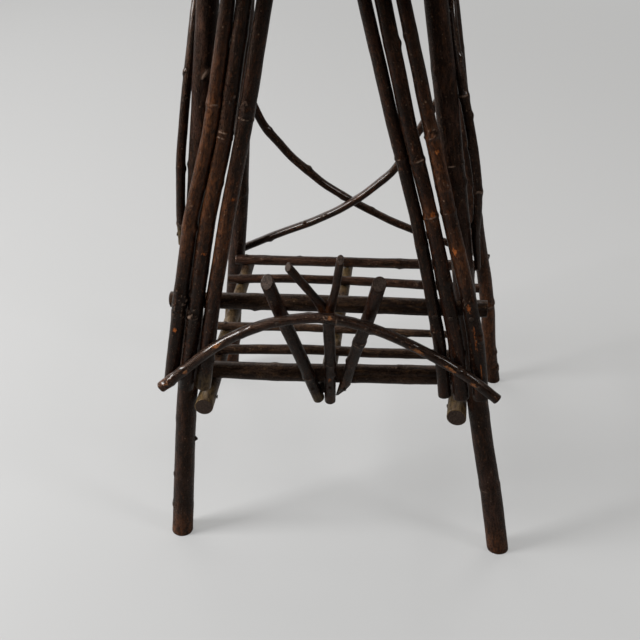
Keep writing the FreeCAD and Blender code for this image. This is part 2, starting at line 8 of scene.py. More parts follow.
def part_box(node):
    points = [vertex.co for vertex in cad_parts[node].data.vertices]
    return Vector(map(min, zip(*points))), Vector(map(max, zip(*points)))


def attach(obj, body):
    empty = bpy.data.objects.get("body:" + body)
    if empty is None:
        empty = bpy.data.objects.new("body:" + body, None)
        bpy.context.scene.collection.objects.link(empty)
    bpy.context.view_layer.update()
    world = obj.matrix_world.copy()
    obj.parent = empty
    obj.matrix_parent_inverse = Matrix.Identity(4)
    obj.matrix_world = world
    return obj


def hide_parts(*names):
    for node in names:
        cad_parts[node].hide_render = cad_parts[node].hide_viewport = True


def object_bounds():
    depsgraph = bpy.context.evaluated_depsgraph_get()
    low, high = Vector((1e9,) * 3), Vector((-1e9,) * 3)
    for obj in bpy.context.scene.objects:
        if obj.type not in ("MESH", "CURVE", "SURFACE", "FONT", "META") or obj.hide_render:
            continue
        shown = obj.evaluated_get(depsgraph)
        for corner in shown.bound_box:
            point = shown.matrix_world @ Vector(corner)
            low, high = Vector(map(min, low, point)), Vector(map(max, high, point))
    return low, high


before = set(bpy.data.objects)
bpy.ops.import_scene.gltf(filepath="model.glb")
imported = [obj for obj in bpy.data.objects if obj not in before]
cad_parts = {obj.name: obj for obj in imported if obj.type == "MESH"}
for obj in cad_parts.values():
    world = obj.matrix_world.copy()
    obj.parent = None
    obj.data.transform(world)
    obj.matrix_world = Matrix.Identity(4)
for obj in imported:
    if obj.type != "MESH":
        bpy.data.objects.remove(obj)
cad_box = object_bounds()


# Camera and room
# The table stands on a plain pale floor in soft daylight. The camera looks down on it from
# in front and a little to the right, where the photograph was taken.

def linear(code):
    """An sRGB hex value as a linear colour."""
    shares = [int(code[i:i + 2], 16) / 255 for i in (1, 3, 5)]
    return [s / 12.92 if s <= 0.04045 else ((s + 0.055) / 1.055) ** 2.4 for s in shares] + [1.0]


def wire(node, wires):
    """Set a node's sockets, and link what comes into it. A node stands for its first output."""
    for socket, value in dict(wires).items():
        if isinstance(value, bpy.types.Node):
            value = value.outputs[0]
        if isinstance(value, bpy.types.NodeSocket):
            node.id_data.links.new(value, node.inputs[socket])
        else:
            node.inputs[socket].default_value = value
    return node


def put(tree, kind, wires=(), **settings):
    """Add a node to a tree, with its settings and with what comes into it."""
    node = tree.nodes.new(kind)
    for name, value in settings.items():
        setattr(node, name, value)
    return wire(node, wires)


def new_finish(title, roughness=0.5, shine=0.5):
    """A new material, with its node tree and its shader."""
    material = bpy.data.materials.new(title)
    material.use_nodes = True
    shader = material.node_tree.nodes["Principled BSDF"]
    wire(shader, {"Roughness": roughness, "Specular IOR Level": shine})
    return material, material.node_tree, shader


def set_out(name, data):
    """An object in the scene, made of a mesh, a curve, a lamp or a camera."""
    thing = bpy.data.objects.new(name, data)
    bpy.context.scene.collection.objects.link(thing)
    return thing


yaw, pitch, roll = -0.1482, 0.6079, -0.0508
stand_x, stand_y, stand_z = 0.1354, -1.1297, 1.0145
look = Vector((math.sin(yaw) * math.cos(pitch), math.cos(yaw) * math.cos(pitch), -math.sin(pitch)))
aside = Vector((math.cos(yaw), -math.sin(yaw), 0))
rise = aside.cross(look)
right = aside * math.cos(roll) + rise * math.sin(roll)
upward = rise * math.cos(roll) - aside * math.sin(roll)
camera = set_out("camera", bpy.data.cameras.new("camera"))
camera.matrix_world = Matrix((
    (right.x, upward.x, -look.x, stand_x),
    (right.y, upward.y, -look.y, stand_y),
    (right.z, upward.z, -look.z, stand_z),
    (0, 0, 0, 1),
))
camera.data.lens = 60.02
camera.data.sensor_width = 36
camera.data.clip_start = 0.01
bpy.context.scene.camera = camera
bpy.context.scene.view_settings.view_transform = "Standard"

# Matt floor paint: flat and pale to the camera, and greyer in the light that it throws back.
# From 0.9 to 3.2 m out it fades into the background, so that no horizon shows.
background = linear("#c3c3c2")
fade_start, fade_end, fade_near = 0.9, 3.2, 0.52
reach = 9
floor_mesh = bpy.data.meshes.new("floor")
floor_mesh.from_pydata([(-reach, -reach, 0), (reach, -reach, 0), (reach, reach, 0), (-reach, reach, 0)],
                       [], [(0, 1, 2, 3)])
floor = set_out("floor", floor_mesh)
floor_paint, tree, shader = new_finish("pale floor paint", 0.9, 0.1)
seen = put(tree, "ShaderNodeLightPath").outputs["Is Camera Ray"]
tone = put(tree, "ShaderNodeMix", {0: seen, 6: linear("#807f7d"), 7: linear("#cacaca")}, data_type="RGBA")
wire(shader, {"Base Color": tone.outputs[2]})
place = put(tree, "ShaderNodeTexCoord").outputs["Object"]
spread = put(tree, "ShaderNodeVectorMath", {0: place}, operation="LENGTH").outputs["Value"]
fade = put(tree, "ShaderNodeMapRange", {0: spread, 1: fade_start, 2: fade_end, 3: fade_near, 4: 1.0},
           interpolation_type="SMOOTHSTEP")
share = put(tree, "ShaderNodeMath", {0: seen, 1: fade}, operation="MULTIPLY")
plain = put(tree, "ShaderNodeEmission", {"Color": background, "Strength": 1.0})
mixed = put(tree, "ShaderNodeMixShader", {0: share, 1: shader, 2: plain})
wire(tree.nodes["Material Output"], {"Surface": mixed})
floor_mesh.materials.append(floor_paint)

# The room is dim but for a pale wall behind on the left, and the camera sees a flat colour.
world = bpy.data.worlds.new("daylight")
bpy.context.scene.world = world
world.use_nodes = True
tree = world.node_tree
tree.nodes.clear()
way = put(tree, "ShaderNodeTexCoord").outputs["Generated"]
towards_wall = put(tree, "ShaderNodeVectorMath", {0: way, 1: (-0.42, 0.85, 0.32)}, operation="DOT_PRODUCT")
brightness = put(tree, "ShaderNodeMapRange",
                 {0: towards_wall.outputs["Value"], 1: -0.1, 2: 0.8, 3: 0.018, 4: 0.75},
                 interpolation_type="SMOOTHSTEP")
room = put(tree, "ShaderNodeBackground", {"Color": linear("#f3f0ec"), "Strength": brightness})
backdrop = put(tree, "ShaderNodeBackground", {"Color": background, "Strength": 1.0})
seen = put(tree, "ShaderNodeLightPath").outputs["Is Camera Ray"]
both = put(tree, "ShaderNodeMixShader", {0: seen, 1: room, 2: backdrop})
put(tree, "ShaderNodeOutputWorld", {"Surface": both})

for name, spot, aim, width, watts in (
    ("window light", (-1.9, -0.62, 1.5), (0, 0, 0.3), 0.8, 60),
    ("pale wall", (-1.5, 1.6, 1.1), (0, 0, 0.35), 1.5, 14),
    ("ceiling light", (0.35, 0.95, 2.2), (0, 0, 0.25), 0.5, 6),
    ("right window", (1.75, -0.75, 1.55), (0, 0, 0.3), 0.45, 11),
    ("fill light", (0.5, -2.2, 1.6), (0, 0, 0.3), 1.2, 2),
):
    lamp = bpy.data.lights.new(name, "AREA")
    lamp.size = width
    lamp.energy = watts
    light = set_out(name, lamp)
    light.location = spot
    light.rotation_euler = (Vector(aim) - Vector(spot)).to_track_quat("-Z", "Y").to_euler()


# Legs
# Four hickory saplings with their bark on, 20 to 27 mm thick, varnished. They lean towards
# each other, and their feet and heads are sawn level.

def points_of(mesh):
    """The places of a mesh's vertices."""
    spots = np.zeros(len(mesh.vertices) * 3)
    mesh.vertices.foreach_get("co", spots)
    return spots.reshape(-1, 3)


def solid_of(name):
    """The vertices of a node's solid, and the corners of its triangles."""
    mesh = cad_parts[name].data
    mesh.calc_loop_triangles()
    spots = points_of(mesh)
    ties = np.zeros(len(mesh.loop_triangles) * 3, np.int32)
    mesh.loop_triangles.foreach_get("vertices", ties)
    return spots, spots[ties.reshape(-1, 3)]


def crossed(corners, point, normal, reach=None):
    """Where a plane crosses a mesh's triangles, near a point if a reach is given."""
    side = (corners - point) @ normal
    found = []
    for a, b in ((0, 1), (1, 2), (2, 0)):
        hit = side[:, a] * side[:, b] < 0
        share = side[hit, a] / (side[hit, a] - side[hit, b])
        found.append(corners[hit, a] + (corners[hit, b] - corners[hit, a]) * share[:, None])
    found = np.concatenate(found)
    if reach is not None:
        found = found[np.linalg.norm(found - point, axis=1) < reach]
    return found


def middle(points, normal):
    """Centre and radius of a round section, from its widths across eight ways."""
    aside = np.cross(normal, (0.31, 0.87, 0.39))
    aside /= np.linalg.norm(aside)
    other = np.cross(normal, aside)
    centre, widths = np.zeros(3), []
    for turn in (0, math.pi / 4, math.pi / 8, 3 * math.pi / 8):
        cos, sin = math.cos(turn), math.sin(turn)
        for way in (cos * aside + sin * other, cos * other - sin * aside):
            along = points @ way
            centre += way * (along.max() + along.min()) / 2 / 4
            widths.append((along.max() - along.min()) / 2)
    centre += normal * float((points @ normal).mean())
    return centre, sorted(widths)[len(widths) // 2]


def line_of(name):
    """The middle line and radii of a stick, from sections 8 mm apart through its solid."""
    section_step, section_reach, end_reach, few = 0.008, 0.02, 0.03, 5
    spots, corners = solid_of(name)
    heart = (spots.max(0) + spots.min(0)) / 2
    _, _, ways = np.linalg.svd(spots[::7] - spots[::7].mean(0), full_matrices=False)
    run = ways[0]
    if abs(run[2]) > 0.3:
        run = run * np.sign(run[2])
    else:
        run = run * np.sign(run[np.argmax(np.abs(run[:2]))])
    reach = (spots - heart) @ run
    low, high = reach.min(), reach.max()
    count = max(int((high - low) / section_step), 6)
    rough = []
    for k in range(count):
        at = low + (high - low) * (k + 0.5) / count
        points = crossed(corners, heart + run * at, run)
        if len(points) > few:
            rough.append(middle(points, run)[0])
    rough = np.array(rough)
    line, radii = [], []
    for k, spot in enumerate(rough):
        course = rough[min(k + 1, len(rough) - 1)] - rough[max(k - 1, 0)]
        course /= np.linalg.norm(course)
        points = crossed(corners, spot, course, section_reach)
        if len(points) > few:
            centre, radius = middle(points, course)
            line.append(centre)
            radii.append(radius)
    line, radii = np.array(line), np.array(radii)
    for end, beyond in ((0, 1), (-1, -2)):
        course = line[end] - line[beyond]
        course /= np.linalg.norm(course)
        near = spots[np.linalg.norm(spots - line[end], axis=1) < end_reach]
        far = ((near - line[end]) @ course).max()
        extra = (line[end] + course * far)[None]
        line = np.concatenate([extra, line] if end == 0 else [line, extra])
        radii = np.concatenate([radii[:1], radii] if end == 0 else [radii, radii[-1:]])
    return line, radii


def bark_sweep():
    """The Geometry Nodes tree that grows a stick of bark round its middle line."""
    group = bpy.data.node_groups.new("bark stick", "GeometryNodeTree")
    face = group.interface
    face.new_socket("Line", in_out="INPUT", socket_type="NodeSocketGeometry")
    for title, kind, value in (
        ("Ring spacing", "NodeSocketFloat", 0.002), ("Sides", "NodeSocketInt", 30),
        ("Ridge height", "NodeSocketFloat", 0.0004), ("Ridge width", "NodeSocketFloat", 0.005),
        ("Lump height", "NodeSocketFloat", 0.0009), ("Lump length", "NodeSocketFloat", 0.03),
        ("Wander", "NodeSocketFloat", 0.0008), ("Seed", "NodeSocketFloat", 0.0),
    ):
        socket = face.new_socket(title, in_out="INPUT", socket_type=kind)
        socket.default_value = value
    face.new_socket("Bark", in_out="INPUT", socket_type="NodeSocketMaterial")
    face.new_socket("Stick", in_out="OUTPUT", socket_type="NodeSocketGeometry")
    given = put(group, "NodeGroupInput").outputs

    rings = put(group, "GeometryNodeResampleCurve",
                {"Curve": given["Line"], "Length": given["Ring spacing"]}, mode="LENGTH")
    along = put(group, "GeometryNodeSplineParameter").outputs["Length"]
    radius = put(group, "GeometryNodeInputRadius")
    marked = rings
    for title, value in (("along", along), ("thick", radius)):
        marked = put(group, "GeometryNodeStoreNamedAttribute",
                     {"Geometry": marked, "Name": title, "Value": value},
                     data_type="FLOAT", domain="POINT")
    bend_place = put(group, "ShaderNodeCombineXYZ", {0: given["Seed"], 2: along})
    bend = put(group, "ShaderNodeTexNoise", {"Vector": bend_place, "Scale": 14.0, "Detail": 1.0})
    bend = put(group, "ShaderNodeVectorMath", {0: bend.outputs["Color"], 1: (0.5, 0.5, 0.5)},
               operation="SUBTRACT")
    bend = put(group, "ShaderNodeVectorMath", {0: bend, "Scale": given["Wander"]},
               operation="SCALE")
    wandering = put(group, "GeometryNodeSetPosition",
                    {"Geometry": marked, "Offset": bend})
    ring = put(group, "GeometryNodeCurvePrimitiveCircle", {"Resolution": given["Sides"], "Radius": 1.0})
    place = put(group, "GeometryNodeInputPosition")
    ring = put(group, "GeometryNodeStoreNamedAttribute",
               {"Geometry": ring, "Name": "around", "Value": place},
               data_type="FLOAT_VECTOR", domain="POINT")
    tube = put(group, "GeometryNodeCurveToMesh",
               {"Curve": wandering, "Profile Curve": ring, "Scale": radius})

    named = {}
    for title, kind in (("along", "FLOAT"), ("thick", "FLOAT"), ("around", "FLOAT_VECTOR")):
        node = put(group, "GeometryNodeInputNamedAttribute", {"Name": title}, data_type=kind)
        named[title] = node
    outwards = put(group, "ShaderNodeVectorMath", {0: named["around"], "Scale": named["thick"]},
                   operation="SCALE")
    shifted = put(group, "ShaderNodeMath", {0: named["along"], 1: given["Seed"]}, operation="ADD")
    upright = put(group, "ShaderNodeCombineXYZ", {2: shifted})
    bark_place = put(group, "ShaderNodeVectorMath", {0: outwards, 1: upright},
                     operation="ADD")
    tube = put(group, "GeometryNodeStoreNamedAttribute",
               {"Geometry": tube, "Name": "bark_place", "Value": bark_place},
               data_type="FLOAT_VECTOR", domain="POINT")
    stored = put(group, "GeometryNodeInputNamedAttribute", {"Name": "bark_place"},
                 data_type="FLOAT_VECTOR")

    heights = []
    for width, height, length_share in (
        (given["Ridge width"], given["Ridge height"], 0.12),
        (given["Lump length"], given["Lump height"], 0.7),
    ):
        scale = put(group, "ShaderNodeMath", {0: 1.0, 1: width}, operation="DIVIDE")
        drawn = put(group, "ShaderNodeVectorMath", {0: stored, 1: (1, 1, length_share)},
                    operation="MULTIPLY")
        rough = put(group, "ShaderNodeTexNoise",
                    {"Vector": drawn, "Scale": scale, "Detail": 2.0, "Roughness": 0.5})
        rough = put(group, "ShaderNodeMath", {0: rough.outputs["Fac"], 1: 0.5}, operation="SUBTRACT")
        rough = put(group, "ShaderNodeMath", {0: rough, 1: height}, operation="MULTIPLY")
        heights.append(rough)
    height = put(group, "ShaderNodeMath", {0: heights[0], 1: heights[1]}, operation="ADD")
    normal = put(group, "GeometryNodeInputNormal")
    lift = put(group, "ShaderNodeVectorMath", {0: normal, "Scale": height}, operation="SCALE")
    tube = put(group, "GeometryNodeSetPosition", {"Geometry": tube, "Offset": lift})
    tube = put(group, "GeometryNodeSetShadeSmooth", {"Geometry": tube})
    whole = put(group, "GeometryNodeRealizeInstances", {"Geometry": tube})
    whole = put(group, "GeometryNodeSetMaterial",
                {"Geometry": whole, "Material": given["Bark"]})
    put(group, "NodeGroupOutput", {0: whole})
    return group


def grown(carrier, group, inputs):
    """The plain mesh that a Geometry Nodes tree makes of an object, which is then removed."""
    modifier = carrier.modifiers.new(group.name, "NODES")
    modifier.node_group = group
    for item in group.interface.items_tree:
        if item.in_out == "INPUT" and item.name in inputs:
            modifier[item.identifier] = inputs[item.name]
    bpy.context.view_layer.update()
    evaluated = carrier.evaluated_get(bpy.context.evaluated_depsgraph_get())
    mesh = bpy.data.meshes.new_from_object(evaluated)
    bpy.data.objects.remove(carrier)
    return mesh


def bark(title, dark, middle_tone, warm, pale, chipped, speckle=1.0, coat=0.14):
    """Varnished hickory bark: smooth thin bark in broad patches of darker and warmer brown,
    with fine streaks, pale and black pores, pale scars at the buds, and worn orange chips.

    Scales count features in a metre. Streaks, grit, pores and chips, at 600, 700, 450 and 900,
    are 1.1 to 2.2 mm apart, which is coarser than real bark, so that they show.
    """
    material, tree, shader = new_finish(title, shine=0.3)
    wire(shader, {"Specular Tint": linear("#e2ae8c"), "Coat Weight": coat, "Coat Roughness": 0.13})
    parts = {}
    for name in ("warmth", "worn", "bare", "scar", "pit"):
        parts[name] = put(tree, "ShaderNodeAttribute", attribute_name=name).outputs["Fac"]
    place = put(tree, "ShaderNodeAttribute", attribute_name="bark_place").outputs["Vector"]
    for name, stretch, scale, detail, roughness, swirl in (
        ("patches", 0.28, 75.0, 4.0, 0.62, 0.0), ("blotches", 0.4, 260.0, 5.0, 0.7, 0.5),
        ("streaks", 0.06, 600.0, 4.0, 0.65, 0.0), ("grit", 0.6, 700.0, 4.0, 0.75, 0.0),
        ("flakes", 0.35, 900.0, 3.0, 0.6, 0.0),
    ):
        drawn = put(tree, "ShaderNodeVectorMath", {0: place, 1: (1, 1, stretch)}, operation="MULTIPLY")
        node = put(tree, "ShaderNodeTexNoise", {"Vector": drawn, "Scale": scale, "Detail": detail,
                                                "Roughness": roughness, "Distortion": swirl})
        parts[name] = node.outputs["Fac"]
    drawn = put(tree, "ShaderNodeVectorMath", {0: place, 1: (1, 1, 0.7)}, operation="MULTIPLY")
    pores = put(tree, "ShaderNodeTexVoronoi", {"Vector": drawn, "Scale": 450.0}, feature="F1")
    chance = put(tree, "ShaderNodeSeparateColor", {0: pores.outputs["Color"]})
    width = put(tree, "ShaderNodeMapRange", {0: chance, 1: 0.5, 2: 1.0, 3: 0.0, 4: 0.42},
                interpolation_type="SMOOTHSTEP")
    parts["pore kind"] = chance.outputs[1]
    parts["inside pore"] = put(tree, "ShaderNodeMath", {0: width, 1: pores.outputs["Distance"]},
                               operation="SUBTRACT")
    parts["loose"] = put(tree, "ShaderNodeMath", {0: parts["flakes"], 1: parts["worn"]}, operation="ADD")
    fresh = put(tree, "ShaderNodeMapRange", {0: parts["grit"], 1: 0.5, 2: 0.7, 3: 0.0, 4: 1.0},
                interpolation_type="SMOOTHSTEP")
    # Bare orange wood: the colour of worn chips, and of the painted highlight lines on the right outer
    # stick.
    chip_and_highlight_wood = put(tree, "ShaderNodeMix", {0: fresh, 6: linear(chipped), 7: linear("#a9794a")},
                    data_type="RGBA").outputs[2]

    # Each row is a coat: its name, its colour if it has one, what it follows, over which
    # values it comes in, how strong it is there, and the coat that it keeps to.
    colour = linear(dark)
    for name, tint, follows, start, end, low, high, within in (
        ("patch", linear(middle_tone), "patches", 0.4, 0.66, 0.0, 1.0, None),
        ("warm blotch", linear(warm), "blotches", 0.5, 0.7, 0.0, 0.8, None),
        ("black blotch", linear("#0d0706"), "blotches", 0.52, 0.34, 0.0, 0.82, None),
        ("pale streak", linear(pale), "streaks", 0.56, 0.78, 0.0, 0.3, None),
        ("black streak", linear("#0b0706"), "streaks", 0.5, 0.3, 0.0, 0.75, None),
        ("black grit", linear("#0b0706"), "grit", 0.5, 0.3, 0.0, 0.65 * speckle, None),
        ("warm part", linear("#7a4a2b"), "blotches", 0.38, 0.62, 0.06, 0.42, "warmth"),
        ("pore field", None, "blotches", 0.42, 0.6, 0.0, 1.0, None),
        ("pore", None, "inside pore", -0.02, 0.14, 0.0, 1.0, "pore field"),
        ("pale pore", linear("#8c7560"), "pore kind", 0.5, 0.45, 0.0, 0.42 * speckle, "pore"),
        ("black pore", linear("#080504"), "pore kind", 0.45, 0.5, 0.0, 0.8 * speckle, "pore"),
        # The worn attribute holds real wear and also the painted highlight lines, which the chips draw in
        # bare wood colour.
        ("wear and painted highlight part", None, "worn", 0.02, 0.2, 0.0, 1.0, None),
        ("chip", chip_and_highlight_wood, "loose", 0.99, 1.08, 0.0, 1.0, "wear and painted highlight part"),
        ("bare part", linear("#6d5a3c"), "blotches", 0.35, 0.65, 0.15, 0.8, "bare"),
        ("scar part", None, "scar", 0.25, 0.9, 0.0, 1.0, None),
        ("scar tissue", linear("#8f7868"), "grit", 0.32, 0.52, 0.3, 0.95, "scar part"),
        ("black pit", linear("#080504"), "pit", 0.2, 0.8, 0.0, 0.85, None),
        ("dullness", None, "grit", 0.3, 0.75, 0.22, 0.46, None),
    ):
        coating = put(tree, "ShaderNodeMapRange", {0: parts[follows], 1: start, 2: end, 3: low, 4: high},
                      interpolation_type="SMOOTHSTEP")
        if within:
            coating = put(tree, "ShaderNodeMath", {0: coating, 1: parts[within]},
                          operation="MULTIPLY")
        parts[name] = coating
        if tint is not None:
            colour = put(tree, "ShaderNodeMix", {0: coating, 6: colour, 7: tint},
                         data_type="RGBA").outputs[2]

    height = 0.0
    for name, lift in (("streaks", 0.55), ("grit", 0.5 * speckle), ("pale pore", 0.952),
                       ("black pore", -0.625), ("chip", -0.4)):
        height = put(tree, "ShaderNodeMath", {0: parts[name], 1: lift, 2: height},
                     operation="MULTIPLY_ADD")
    relief = put(tree, "ShaderNodeBump", {"Strength": 0.75, "Distance": 0.0014, "Height": height})
    wire(shader, {"Base Color": colour, "Roughness": parts["dullness"], "Normal": relief})
    return material


def sawn_wood():
    """The sawn end of a hickory stick under varnish: pale greyish brown with year rings 1.7 mm
    apart, coarser than real so that they show, and dark stains."""
    material, tree, shader = new_finish("sawn hickory end", 0.6, 0.2)
    place = put(tree, "ShaderNodeAttribute", attribute_name="bark_place").outputs["Vector"]
    flat = put(tree, "ShaderNodeVectorMath", {0: place, 1: (1, 1, 0)}, operation="MULTIPLY")
    out = put(tree, "ShaderNodeVectorMath", {0: flat}, operation="LENGTH").outputs["Value"]
    rough = put(tree, "ShaderNodeTexNoise",
                {"Vector": place, "Scale": 500.0, "Detail": 4.0, "Roughness": 0.6})
    turned = put(tree, "ShaderNodeMath", {0: rough.outputs["Fac"], 1: 0.0012, 2: out},
                 operation="MULTIPLY_ADD")
    rings = put(tree, "ShaderNodeMath", {0: turned, 1: 3800.0}, operation="MULTIPLY")
    rings = put(tree, "ShaderNodeMath", {0: rings}, operation="SINE")
    rings = put(tree, "ShaderNodeMapRange", {0: rings, 1: -1.0, 2: 1.0, 3: 0.0, 4: 0.45})
    stain = put(tree, "ShaderNodeMapRange", {0: rough.outputs["Fac"], 1: 0.38, 2: 0.62, 3: 0.0, 4: 0.85})
    colour = linear("#54443a")
    for share, tint in ((rings, "#382b23"), (stain, "#1f1611")):
        colour = put(tree, "ShaderNodeMix", {0: share, 6: colour, 7: linear(tint)},
                     data_type="RGBA").outputs[2]
    bump = put(tree, "ShaderNodeBump", {"Strength": 0.8, "Distance": 0.0012, "Height": rough.outputs["Fac"]})
    wire(shader, {"Base Color": colour, "Normal": bump})
    return material


sweep, end_wood = bark_sweep(), sawn_wood()


def bell(far, width, power=2):
    """A smooth bump: one in its middle, and fading out past its width."""
    return np.exp(-(far / width) ** power)


def wrapped(turn):
    """A turn brought between half a turn back and half a turn on."""
    return np.angle(np.exp(1j * turn))


def around_stick(spots, path, fine, along):
    """For each place: the way out of the stick, its radius, and its turn from the front."""
    heart = np.stack([np.interp(along, fine, path[:, k]) for k in range(3)], 1)
    course = [np.gradient(path[:, k], fine) for k in range(3)]
    course = np.stack([np.interp(along, fine, course[k]) for k in range(3)], 1)
    course /= np.linalg.norm(course, axis=1)[:, None]
    out = spots - heart
    out -= course * (out * course).sum(1)[:, None]
    radius = np.maximum(np.linalg.norm(out, axis=1), 1e-6)
    out /= radius[:, None]
    facing = np.array([0.0, -1.0, 0.0] if abs(np.mean(course[:, 1])) < 0.8 else [0.0, 0.0, 1.0])
    front = facing - course * (course @ facing)[:, None]
    front /= np.linalg.norm(front, axis=1)[:, None]
    flank = np.cross(course, front)
    return out, radius, np.arctan2((out * flank).sum(1), (out * front).sum(1))


def add_buds(buds, spots, out, radius, turn, along, marked):
    """Raise a small bud at each bud ring, with a pale scar on one side and a pit opposite."""
    for at, strength, way in buds:
        tilt = 0.0022 * np.cos(turn - way)
        some = np.clip(np.cos(turn - way * 1.7), 0, 1)
        scar = 0.55 * strength * bell(along - at - tilt, 0.0011) * some
        pit = 0.45 * strength * bell(along - at - tilt + 0.0025, 0.0011) * (1 - some)
        marked["scar"] = np.maximum(marked["scar"], scar)
        marked["pit"] = np.maximum(marked["pit"], pit)
        bud = bell(along - at, 0.0035) * bell(wrapped(turn - way) * radius, 0.0035)
        spots += out * (bud * 0.0014 * strength)[:, None]


def add_mark(mark, spots, out, radius, turn, along, marked):
    """Shape and tint one mark: a kind, how far along in mm, how far round in degrees from the
    front, and its size in mm."""
    kind, at, angle, size = mark
    at, size, angle = at / 1000, size / 1000, math.radians(angle)
    aside = wrapped(turn - angle) * radius
    along = along - at
    far = np.sqrt(along ** 2 + aside ** 2) / size
    far *= 1 + 0.22 * np.sin(3 * np.arctan2(aside, along) + angle * 7 + at * 50)
    add = {}
    if kind == "scarred":
        lengthways = along * 0.85 + aside * 0.53
        crossways = aside * 0.85 - along * 0.53
        slanted = np.sqrt((lengthways * 0.6) ** 2 + (crossways * 1.9) ** 2)
        patch = bell(slanted, size, 4)
        torn = 0.5 + 0.5 * np.sin((along + at) * 5200 + turn * 9) * np.sin(turn * 14 + (along + at) * 1900)
        add["scar"] = patch * (0.6 + 0.4 * torn)
        add["pit"] = 0.7 * bell(slanted / size - 1.3, 0.25)
        spots += out * ((0.001 + 0.0008 * torn) * patch)[:, None]
    elif kind == "knot":
        spots += out * (size * (0.42 * bell(far, 1.05, 4) - 0.12 * bell(far, 0.4)))[:, None]
        add["scar"] = 0.55 * bell(far - 0.5, 0.35)
        add["pit"] = 0.7 * bell(far - 1.15, 0.25) + 0.8 * bell(far, 0.3)
    elif kind == "ring":
        ragged = 0.0011 * np.cos(turn - angle) + 0.0005 * np.sin(turn * 5 + at * 900)
        some = np.clip(1.5 * np.cos(wrapped(turn - angle)) - 0.35, 0, 1)
        add["scar"] = 0.85 * bell(along - ragged, size / 2.6) * some
        add["pit"] = 0.6 * bell(along - ragged + size, size / 3)
        spots += out * (0.0009 * bell(along, size))[:, None]
    elif kind == "stub":
        spots += out * (size * 1.3 * bell(far, 0.7, 6))[:, None]
        add["pit"] = 0.9 * bell(far, 0.9, 4)
    elif kind == "burl":
        for k in np.flatnonzero(far < 1.6):
            lump = noise.fractal(Vector(spots[k]) * 420, 0.8, 2.1, 3) * bell(far[k], 1.1, 4)
            spots[k] += out[k] * (0.0018 * lump + 0.0014 * bell(far[k], 1.0))
            marked["scar"][k] = max(marked["scar"][k], 0.7 * min(max(lump * 2.4, 0), 1))
            marked["pit"][k] = max(marked["pit"][k], min(max(-lump * 2.2, 0), 1))
    elif kind == "bare":
        add["bare"] = bell(along, size, 4)
    elif kind == "worn":
        add["worn"] = 0.66 * bell(along, size) * bell(aside, 0.0045)
    # A painted highlight: a long thin line of bare, paler wood down the stick, where its varnish would catch
    # the light. It is kept in the worn attribute with the real wear.
    elif kind == "painted_highlight_line":
        add["worn"] = 0.66 * bell(along, size, 4) * bell(aside, 0.0017)
    # A warm band: warmer, lighter bark all round the stick. On the back right leg it is painted light.
    elif kind == "warm":
        add["warmth"] = bell(along, size)
    for title, values in add.items():
        marked[title] = np.maximum(marked[title], values)


def saw_end(shell, spot, way):
    """Saw a stick off square to a way, and close it with a flat end in a soft rim."""
    rim_width, rim_depth, end_reach = 0.0009, 0.0004, 0.05
    places = shell.verts.layers.float_vector["bark_place"]
    result = bmesh.ops.bisect_plane(shell, geom=shell.verts[:] + shell.edges[:] + shell.faces[:], dist=1e-6,
                                    plane_co=spot, plane_no=way, clear_outer=True)
    rim = [item for item in result["geom_cut"] if isinstance(item, bmesh.types.BMEdge)]
    near = [edge for edge in rim if (edge.verts[0].co - spot).length < end_reach]
    cap = bmesh.ops.contextual_create(shell, geom=near)["faces"]
    soft = bmesh.ops.inset_region(shell, faces=cap, thickness=rim_width, depth=rim_depth,
                                  use_even_offset=True)
    for disc in soft["faces"]:
        disc.smooth = True
    hub = bmesh.ops.poke(shell, faces=cap)
    for vert in hub["verts"]:
        ring = [edge.other_vert(vert) for edge in vert.link_edges]
        vert[places] = sum((other[places] for other in ring), Vector()) / len(ring)
    for disc in hub["faces"]:
        disc.material_index = 1
        disc.smooth = False


